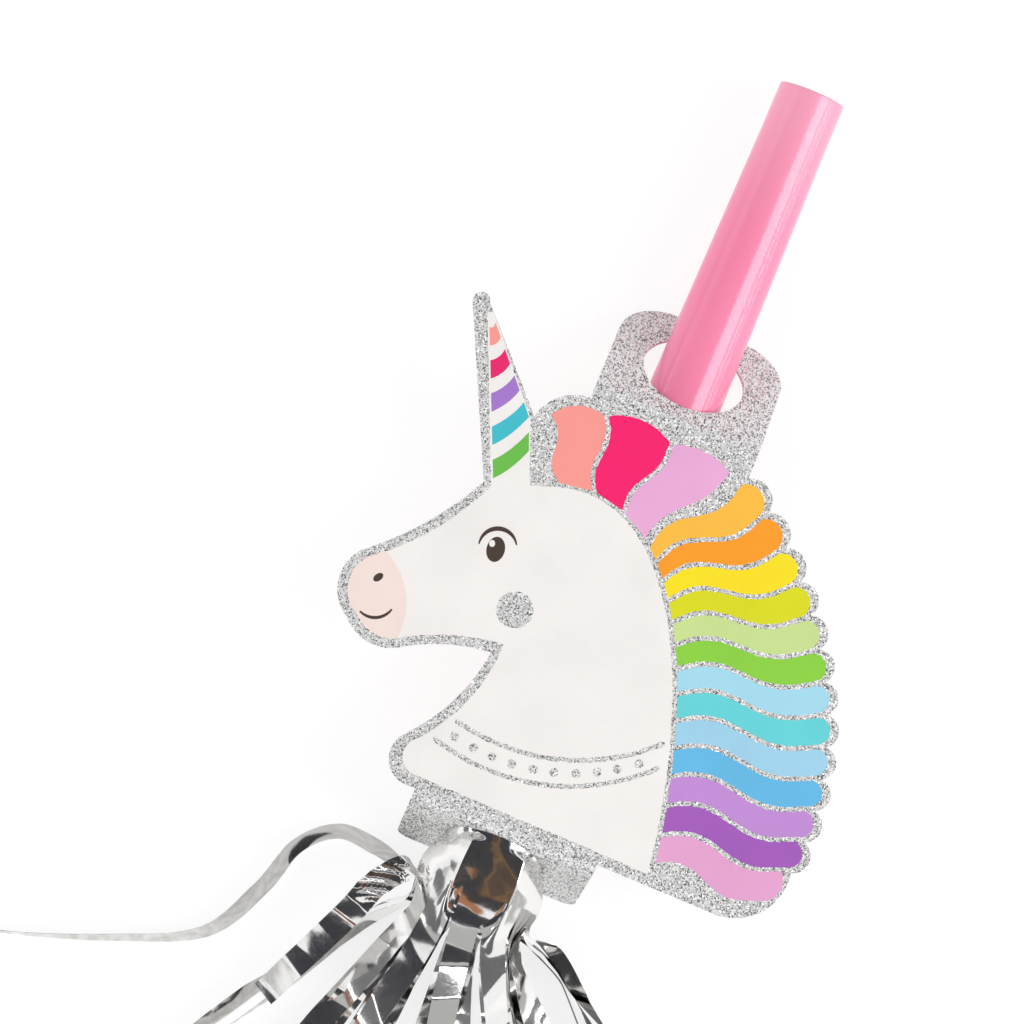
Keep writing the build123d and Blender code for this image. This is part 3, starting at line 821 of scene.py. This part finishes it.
def strip_mesh(turn, place, settings):
    """Points and faces of one strip: it leaves the bell round, flattens, twists and creases."""
    rng = random.Random(settings.seed + 31 * turn + 7 * place)
    clock, line = strip_line(turn, place)
    crease = settings.crease / MM
    short, curled = (turn, place) == SHORT_STRIP, (turn, place) == CURLED_STRIP
    fold = creases(rng, crease, SHORT_CREASES if short else PLAIN_CREASES)
    swing, span, phase = settings.twist * rng.uniform(0.5, 1.0), rng.uniform(*TWIST_SPANS), rng.random()
    if curled:
        fold = creases(rng, crease, CURL_CREASES)
        swing *= CURL_SWING
    crumple = creases(rng, crease, CRUMPLE_CREASES) if short else None
    leaves = STRAY_LEAVES if short or curled else LEAVES
    middle = clock + math.tau / STRIPS_ROUND * SLIT_SHIFTS[turn]
    centres = [centre for centre, _ in line]
    step = (centres[1] - centres[0]).length
    points = []
    for i, (centre, side) in enumerate(line):
        s = i * step
        along = direction(centres, i).normalized()
        side = (side - along * side.dot(along)).normalized()
        loose = ease(s, *CREASES_FROM)
        turned = Matrix.Rotation(loose * swing * math.sin(math.tau * (s / span + phase)), 3, along) @ side
        face = along.cross(turned)
        for j in range(STRIP_STEPS + 1):
            across = STRIP_WIDTH * (j / STRIP_STEPS - 0.5)
            angle = middle + across / foil_radius(-BELL_Y)
            radius = collar_radius(angle, s - BELL_Y, turn)
            on_bell = Vector((radius * math.sin(angle), BELL_Y - s, radius * math.cos(angle)))
            height = loose * fold(s, across)
            if short:
                height += ease(s, *CRUMPLE_START) * (1 - ease(s, *CRUMPLE_END)) * crumple(s, across)
            flat = centre + turned * across + face * height
            if not (short or curled):
                flat.z += ripple(flat.x, flat.y)
            point = on_bell.lerp(flat, ease(s, *leaves))
            point.z = max(point.z, FLOOR_Z + LEAST_LIFT)
            points.append(point)
    wide = STRIP_STEPS + 1
    corners = [i * wide + j for i in range(len(line) - 1) for j in range(STRIP_STEPS)]
    return points, [[a, a + 1, a + wide + 1, a + wide] for a in corners]


def thicken(piece, thickness):
    """Give a sheet the thickness of its film, and smooth shading."""
    solid = piece.modifiers.new("film", "SOLIDIFY")
    solid.thickness = thickness
    solid.offset = 0
    sheet = piece.data
    piece.data = bpy.data.meshes.new_from_object(piece.evaluated_get(bpy.context.evaluated_depsgraph_get()))
    piece.data.name = piece.name
    piece.modifiers.clear()
    bpy.data.meshes.remove(sheet)
    for face in piece.data.polygons:
        face.use_smooth = True
    piece.data.set_sharp_from_angle(angle=SHARP_ANGLE)


class BLOWER_OT_horn(bpy.types.Operator):
    """Finish the pink horn and the reed inside it"""

    bl_idname = "blower.horn"
    bl_label = "Horn and reed"

    def execute(self, context):
        horn = context.scene.blower_horn
        finish_node("horn_tube", polypropylene_tube(horn.pink, horn.roughness))
        moulded = moulded_polyethylene(horn.reed)
        finish_node("reed_plug", moulded)
        finish_node("reed_wedge", moulded)
        finish_node("reed_tongue", polyester_film())
        return {"FINISHED"}


class BLOWER_OT_card(bpy.types.Operator):
    """Finish the card's board and its glitter face"""

    bl_idname = "blower.card"
    bl_label = "Card"

    def execute(self, context):
        card = context.scene.blower_card
        finish_node("card_board", folding_boxboard(card.board))
        finish_node("glitter_face", glitter_film(card.grain))
        return {"FINISHED"}


class BLOWER_OT_head_print(bpy.types.Operator):
    """Print the head, its face and its collar on the card"""

    bl_idname = "blower.head_print"
    bl_label = "Head print"

    def execute(self, context):
        card = context.scene.blower_card
        white = printing_ink("white", card.head, card.grain)
        brown = printing_ink("brown", card.lines, card.grain)
        pink = printing_ink("muzzle_pink", card.muzzle, card.grain)
        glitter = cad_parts["glitter_face"].data.materials[0]
        crest = [beside(CREST, i / CREST_STEPS, -HEAD_INSET) for i in range(CREST_STEPS + 1)]
        # The head and the muzzle share the line round the nose
        nose = [[(-42.7, 2.7), (-41.2, -2.3)], [(-38.9, -5.1), (-34.5, -6.4)]]
        head = trace(
            (-18.6, 19.2), [(-30.6, 10.7), (-39.6, 7.2)], *nose, [(-26.4, -5.8), (-16.4, -7.4)],
            [(-22.9, -17.3), (-31.3, -23.4)], [(-33.5, -26.3), (-31.9, -29.2)], [crest[-1]])
        horn = trace(
            crest[0], [(-12.1, 19.4)], [(-11.9, 30.6)], [(-18.1, 48.6)], [(-19.2, 48.6)], [(-18.6, 19.2)])
        print_patch("head_ink", head + crest[-2::-1] + horn[1:-1], white)
        self.print_stripes(card)
        muzzle = trace((-36.4, 8.4), [(-38.0, 7.85), (-39.6, 7.2)], *nose, [(-33.0, 1.2), (-36.4, 8.4)])
        print_patch("muzzle_ink", muzzle[:-1], pink, 2)
        mouth = stroke(trace((-40.6, -1.9), [(-38.2, -2.9), (-35.4, -1.6)]), 0.55, 0.4)
        lid = stroke(trace((-20.6, 9.6), [(-17.3, 12.1), (-14.3, 9.4)]), 0.75, 0.7)
        for name, outline, ink, level in (
                ("nostril", oval((-37.6, 3.9), 1.9, 1.2, 35), brown, 3), ("mouth", mouth, brown, 3),
                ("eye", oval((-17.8, 8.6), 3.1, 4.3, -14), brown, 2),
                ("eye_spark", oval((-18.4, 9.6), 1.0, 1.2), white, 3), ("eyelid", lid, brown, 3)):
            print_patch(name + "_ink", outline, ink, level, ragged=False)
        print_patch("cheek_glitter", oval((-14.6, -1.6), 6.2, 6.2), glitter, 2)
        self.print_collar(glitter)
        return {"FINISHED"}

    def print_stripes(self, card):
        """Print curved bands round the horn, as a twisted horn has."""
        for i, colour in enumerate(HORN_COLOURS):
            low = BAND_LOW + BAND_PITCH * i
            lower, upper = [[self.band_point(level, k / BAND_STEPS) for k in range(BAND_STEPS + 1)]
                            for level in (low, low + BAND_HEIGHT)]
            ink = printing_ink("horn_%d" % (i + 1), linear(colour), card.grain)
            print_patch("horn_stripe_%d_ink" % (i + 1), lower + upper[::-1], ink, 2, ragged=False)

    def band_point(self, level, share):
        """A point on a band's edge, where it meets the horn's sides, which draw together above 31 mm."""
        y = level
        for _ in range(6):
            left = -18.2 - 0.7 * (y - 18.9) / 29.7
            right = -12.2 - max(0.0, y - 31.0) * 0.355
            x = left + (max(left, right) - left) * share
            y = level + BAND_RISE * (x - left) - BAND_SAG * 4 * share * (1 - share)
        return Vector((x, y))

    def print_collar(self, glitter):
        """Print a beaded collar round the neck."""
        for i, (start, via, end) in enumerate(COLLAR_LINES):
            line = stroke(trace(start, [via, end]), 0.8)
            print_patch("collar_line_%d_glitter" % (i + 1), line, glitter, 2)
        start, via, end = COLLAR_BEADS
        beads = trace(start, [via, end])
        spacing = BEAD_PITCH / PEN_STEP
        for i in range(int(len(beads) / spacing)):
            bead = oval(beads[round((i + 0.5) * spacing)], 1.5, 1.5)
            print_patch("collar_bead_%02d_glitter" % (i + 1), bead, glitter, 2)


class BLOWER_OT_mane_print(bpy.types.Operator):
    """Print the forelocks and the locks of the mane on the card"""

    bl_idname = "blower.mane_print"
    bl_label = "Mane print"

    def execute(self, context):
        card = context.scene.blower_card
        wave = card.wave / MM
        locks = len(MANE_COLOURS)
        count = locks - 1
        valleys = [beside(MANE_EDGE, k / count, -MANE_BORDER) for k in range(locks)]
        tips = [beside(MANE_EDGE, (k + LOCK_LEAN) / count, LOCK_SWELL - MANE_BORDER) for k in range(count)]
        valleys.append(Vector(CORNER_END))
        tips.append(Vector(CORNER_TIP))
        first, last = MANE_ROOTS
        roots = [first + (last - first) * k / locks for k in range(locks + 1)]
        for i, colour in enumerate(MANE_COLOURS):
            name = "mane_ink_%02d" % (i + 1)
            self.print_lock(name, roots[i:i + 2], valleys[i:i + 2], tips[i], wave, colour, card)
        for i, colour in enumerate(FORELOCK_COLOURS):
            name = "forelock_ink_%d" % (i + 1)
            self.print_lock(name, FORELOCK_ROOTS[i:i + 2], FORELOCK_ENDS[i:i + 2], FORELOCK_TIPS[i],
                            wave * FORELOCK_WAVE, colour, card)
        return {"FINISHED"}

    def print_lock(self, name, roots, valleys, tip, wave, colour, card):
        """Print one lock from the crest to its rounded end."""
        starts = self.drawn_in([beside(CREST, t, LOCK_START) for t in roots])
        ends = self.drawn_in([Vector(v) for v in valleys])
        upper, lower = [wavy(start, end, wave) for start, end in zip(starts, ends)]
        outline = upper + arc(ends[0], tip, ends[1]) + lower[-2::-1]
        ink = printing_ink(name.replace("_ink", ""), linear(colour), card.grain)
        print_patch(name, outline, ink)

    def drawn_in(self, pair):
        """Two points, each drawn in towards the other by the gap of a lock."""
        gap = (pair[1] - pair[0]).normalized() * LOCK_GAP
        return [pair[0] + gap, pair[1] - gap]


class BLOWER_OT_foil_collar(bpy.types.Operator):
    """Wind the uncut part of the foil round the bell, under its tape"""

    bl_idname = "blower.foil_collar"
    bl_label = "Foil collar"

    def execute(self, context):
        foil = context.scene.blower_foil
        around, along = COLLAR_STEPS
        points, faces = [], []
        for i in range(along + 1):
            distance = -BELL_Y - FOIL_LENGTH * (1 - i / along)
            for j in range(around):
                angle = math.tau * j / around
                radius = collar_radius(angle, distance)
                points.append((radius * math.sin(angle), -distance, radius * math.cos(angle)))
        for i in range(along):
            for j in range(around):
                k = (j + 1) % around
                faces.append([i * around + j, (i + 1) * around + j, (i + 1) * around + k, i * around + k])
        piece = new_piece("foil_collar", points, faces, metallised_film(foil.silver, foil.roughness))
        thicken(piece, foil.film)
        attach(piece, "mouthpiece")
        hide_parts("foil_heading")
        finish_node("fringe_tape", adhesive_tape())
        return {"FINISHED"}


class BLOWER_OT_fringe(bpy.types.Operator):
    """Slit the foil into strips that fan out and fall on the table"""

    bl_idname = "blower.fringe"
    bl_label = "Fringe"

    def execute(self, context):
        foil = context.scene.blower_foil
        film = bpy.data.objects["foil_collar"].data.materials[0]
        groups = {"upper_fringe": [], "lower_fringe": []}
        for turn in range(FOIL_TURNS):
            for place in range(STRIPS_ROUND):
                upper = is_upper(math.tau * place / STRIPS_ROUND)
                groups["upper_fringe" if upper else "lower_fringe"].append((turn, place))
        for name, strips in groups.items():
            points, faces, area = [], [], 0.0
            for strip in strips:
                more, quads = strip_mesh(*strip, foil)
                faces += [[len(points) + k for k in quad] for quad in quads]
                points += more
                area += STRIP_WIDTH * (SHORT_STRIP_LENGTH if strip == SHORT_STRIP else STRIP_LENGTH)
            piece = new_piece(name, points, faces, film)
            thicken(piece, foil.film)
            if name == "upper_fringe":
                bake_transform(piece)
            else:
                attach(piece, "mouthpiece")
            numbers = [turn * STRIPS_ROUND + place + 1 for turn, place in strips]
            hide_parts(*["fringe_strip_%02d" % number for number in numbers])
        return {"FINISHED"}


class BLOWER_OT_stage(bpy.types.Operator):
    """Set the table, the lights and the camera"""

    bl_idname = "blower.stage"
    bl_label = "Stage"

    def execute(self, context):
        scene, stage = context.scene, context.scene.blower_stage
        scene.view_settings.view_transform = "Standard"
        right = Vector((math.cos(HEAD_LEAN), math.sin(HEAD_LEAN), 0))
        up = Vector((-math.sin(HEAD_LEAN), math.cos(HEAD_LEAN), 0))
        self.set_camera(scene, stage.distance)
        self.set_table()
        self.set_room(scene, stage.ambient)
        # Softboxes: what each one faces, how far it stands from there, and its size, in metres
        for name, (x, y), away, size in (
                ("key", (0, KEY_Y), Vector((0.69, 0, 0.415)), (0.2, 0.9)),
                ("fill", PICTURE_CENTRE, right * -0.72 + Vector((0, 0, 0.34)), (0.8, 0.45)),
                ("front", (0, TAB_Y), up * -0.78 + Vector((0, 0, 0.3)), (0.5, 0.2))):
            place = self.facing(Vector((x * MM, y * MM, 0)), away)
            self.add_softbox(name + "_softbox", place, size, getattr(stage, name))
        cloths = {name: self.flag_cloth(*cloth) for name, cloth in CLOTHS.items()}
        cloths["streaked"] = self.stained_timber()
        fringe = Vector((0, (BELL_Y - FRINGE_MIDDLE) * MM, 0))
        for i, (cloth, side, first, last, width) in enumerate(FLAGS):
            turn = math.radians(side)
            level = right * math.sin(turn) + up * math.cos(turn)
            zenith = math.radians((first + last) / 2)
            away = (level * math.sin(zenith) + Vector((0, 0, math.cos(zenith)))) * FLAG_DISTANCE
            tall = 2 * FLAG_DISTANCE * math.tan(math.radians(last - first) / 2)
            half = Vector((width / 2 / MM, tall / 2 / MM))
            self.add_flag("flag_%02d_%s" % (i + 1, cloth), -half, half, cloths[cloth],
                          self.facing(fringe, away))
        # Painted shade: sheets on the table that only mirrors see, darkening the table where the foil shows
        # it
        for i, (cloth, low, high) in enumerate(MIRROR_SHADE_SHEETS):
            level = Matrix.Translation((0, 0, (FLOOR_Z + CLOTH_LIFT + CLOTH_STEP * i) * MM))
            self.add_flag("table_cloth_%d" % (i + 1), low, high, cloths[cloth], level)
        return {"FINISHED"}

    def set_camera(self, scene, distance):
        """A camera that looks straight down on the photograph's frame."""
        camera = bpy.data.cameras.new("camera")
        camera.sensor_width = SENSOR_WIDTH
        camera.lens = SENSOR_WIDTH * distance / (PICTURE_WIDTH * MM)
        eye = bpy.data.objects.new("camera", camera)
        eye.location = Vector((*PICTURE_CENTRE, PICTURE_LEVEL)) * MM + Vector((0, 0, distance))
        eye.rotation_euler = (0, 0, HEAD_LEAN)
        scene.collection.objects.link(eye)
        scene.camera = eye

    def seen_rays(self, tree):
        """A factor that is 1 for what the camera, a mirror or a clear piece sees."""
        path = add_node(tree, "LightPath")
        mirror = add_node(tree, "Math", {0: path["Is Camera Ray"], 1: path["Is Glossy Ray"]},
                          operation="MAXIMUM")
        return add_node(tree, "Math", {0: mirror["Value"], 1: path["Is Transmission Ray"]},
                        operation="MAXIMUM")["Value"]

    def set_table(self):
        """A white paper sweep: dull and even, bright as paper under studio light, with a soft shadow."""
        material, tree, place = new_material("white_paper_sweep")
        # Paper tooth, 0.5 mm
        tooth = add_node(tree, "TexNoise", {"Vector": place, "Scale": 1 / (0.5 * MM), "Detail": 3.0})
        tint = add_node(tree, "ValToRGB", {"Fac": tooth["Fac"]}, tints((0.3, "#F1F1F1"), (0.7, "#F6F6F6")))
        paper = add_node(tree, "BsdfPrincipled", {"Base Color": tint["Color"], "Roughness": 0.9})
        glow = add_node(tree, "Emission", {"Strength": 0.78})
        dull = add_node(tree, "BsdfDiffuse", {"Color": (0.28, 0.28, 0.28, 1)})
        bright = add_node(tree, "AddShader", {0: glow["Emission"], 1: dull["BSDF"]})
        both = add_node(tree, "MixShader", {
            "Fac": self.seen_rays(tree), 1: paper["BSDF"], 2: bright["Shader"]})
        add_node(tree, "OutputMaterial", {"Surface": both["Shader"]})
        self.add_rectangle("table", (-TABLE_HALF, -TABLE_HALF), (TABLE_HALF, TABLE_HALF), material, FLOOR_Z)

    def set_room(self, scene, ambient):
        """A white room that lights the part evenly and is plain white to the camera and in mirrors."""
        world = bpy.data.worlds.new("white_room")
        world.use_nodes = True
        tree = world.node_tree
        tree.nodes.clear()
        lit, seen = [add_node(tree, "Background", {"Color": (1, 1, 1, 1), "Strength": strength})
                     for strength in (ambient, 1.0)]
        both = add_node(tree, "MixShader", {
            "Fac": self.seen_rays(tree), 1: lit["Background"], 2: seen["Background"]})
        add_node(tree, "OutputWorld", {"Surface": both["Shader"]})
        scene.world = world

    def add_softbox(self, name, place, size, power):
        """A softbox that faces the part."""
        lamp = bpy.data.lights.new(name, "AREA")
        lamp.shape = "RECTANGLE"
        lamp.size, lamp.size_y = size
        lamp.energy = power
        softbox = bpy.data.objects.new(name, lamp)
        softbox.matrix_world = place
        bpy.context.scene.collection.objects.link(softbox)

    def flag_cloth(self, name, colour):
        """Molton, a napped cotton cloth: it throws back no gloss, only its dull colour and a soft nap."""
        material, tree, place = new_material(name)
        # Nap, 2 mm
        nap = add_node(tree, "TexNoise", {"Vector": place, "Scale": 1 / (2 * MM), "Detail": 2.0})
        tint = add_node(tree, "ValToRGB", {"Fac": nap["Fac"]}, shades(linear(colour), (0.3, 0.8), (0.7, 1.2)))
        return surfaced(material, {"Base Color": tint["Color"], "Roughness": 1.0})

    def stained_timber(self):
        """Dark stained pine, as a ceiling beam: near black, with a brown heart that golden rings run
        round."""
        material, tree, place = new_material("stained_pine")
        # Wander of the grain, 70 mm long
        grain = add_node(tree, "TexNoise", {"Vector": place, "Scale": 1 / (70 * MM), "Detail": 1.0})
        axes = add_node(tree, "SeparateXYZ", {"Vector": place})
        # How far a spot lies inside the heart, from its side and from its lower end
        side = add_node(tree, "Math", {0: axes["X"], 1: -1.0, 2: 35 * MM}, operation="MULTIPLY_ADD")
        end = add_node(tree, "Math", {0: axes["Y"], 1: 62 * MM}, operation="ADD")
        inside = add_node(
            tree, "Math", {0: side["Value"], 1: end["Value"], 2: 40 * MM}, operation="SMOOTH_MIN")
        ring = add_node(
            tree, "Math", {0: grain["Fac"], 1: 30 * MM, 2: inside["Value"]}, operation="MULTIPLY_ADD")
        depth = add_node(
            tree, "MapRange", {"Value": ring["Value"], "From Min": -35 * MM, "From Max": 65 * MM})
        tint = add_node(tree, "ValToRGB", {"Fac": depth["Result"]}, tints(
            (0.0, "#2A2A2D"), (0.27, "#2E2B2A"), (0.31, "#B98C4A"), (0.35, "#332822"), (0.45, "#3A2D25"),
            (0.49, "#C09450"), (0.54, "#54402E"), (1.0, "#4A3A2E")))
        return surfaced(material, {"Base Color": tint["Color"], "Roughness": 0.7})

    def add_rectangle(self, name, low, high, material, level=0.0):
        """A level rectangle of the stage, between two corners."""
        (left, near), (right, far) = low, high
        corners = [(left, near, level), (right, near, level), (right, far, level), (left, far, level)]
        piece = new_piece(name, corners, [[0, 1, 2, 3]], material)
        return piece

    def add_flag(self, name, low, high, material, place):
        """A flag that only mirrors see, so that the foil has something dark to show."""
        flag = self.add_rectangle(name, low, high, material)
        flag.matrix_world = place
        flag.visible_camera = False
        flag.visible_diffuse = False
        flag.visible_shadow = False

    def facing(self, centre, away):
        """The place of something that hangs away from the part and faces it, level with the picture."""
        overhead = abs(away.normalized().z) >= 0.99
        turn = Matrix.Rotation(HEAD_LEAN, 3, "Z") if overhead else away.to_track_quat("Z", "Y")
        return Matrix.LocRotScale(centre + away, turn, None)


class BLOWER_PT_pieces(bpy.types.Panel):
    """The blower's pieces and settings"""

    bl_idname = "BLOWER_PT_pieces"
    bl_label = "Party horn blower"
    bl_space_type = "VIEW_3D"
    bl_region_type = "UI"
    bl_category = "Blower"

    def draw(self, context):
        for operator in OPERATORS:
            self.layout.operator(operator.bl_idname)
        for name in SETTINGS:
            group = getattr(context.scene, name)
            box = self.layout.box()
            box.label(text=name.replace("_", " "))
            for key in group.__annotations__:
                box.prop(group, key)


SETTINGS = {
    "blower_horn": HornSettings,
    "blower_card": CardSettings,
    "blower_foil": FoilSettings,
    "blower_stage": StageSettings,
}
OPERATORS = [
    BLOWER_OT_horn, BLOWER_OT_card, BLOWER_OT_head_print, BLOWER_OT_mane_print, BLOWER_OT_foil_collar,
    BLOWER_OT_fringe, BLOWER_OT_stage,
]
CLASSES = [*SETTINGS.values(), *OPERATORS, BLOWER_PT_pieces]


def register():
    for item in CLASSES:
        bpy.utils.register_class(item)
    for name, group in SETTINGS.items():
        setattr(bpy.types.Scene, name, bpy.props.PointerProperty(type=group))


def unregister():
    for name in SETTINGS:
        delattr(bpy.types.Scene, name)
    for item in reversed(CLASSES):
        bpy.utils.unregister_class(item)


def main():
    register()
    bpy.ops.blower.stage()
    bpy.ops.blower.horn()
    bpy.ops.blower.card()
    bpy.ops.blower.head_print()
    bpy.ops.blower.mane_print()
    bpy.ops.blower.foil_collar()
    bpy.ops.blower.fringe()


if __name__ == "__main__":
    main()
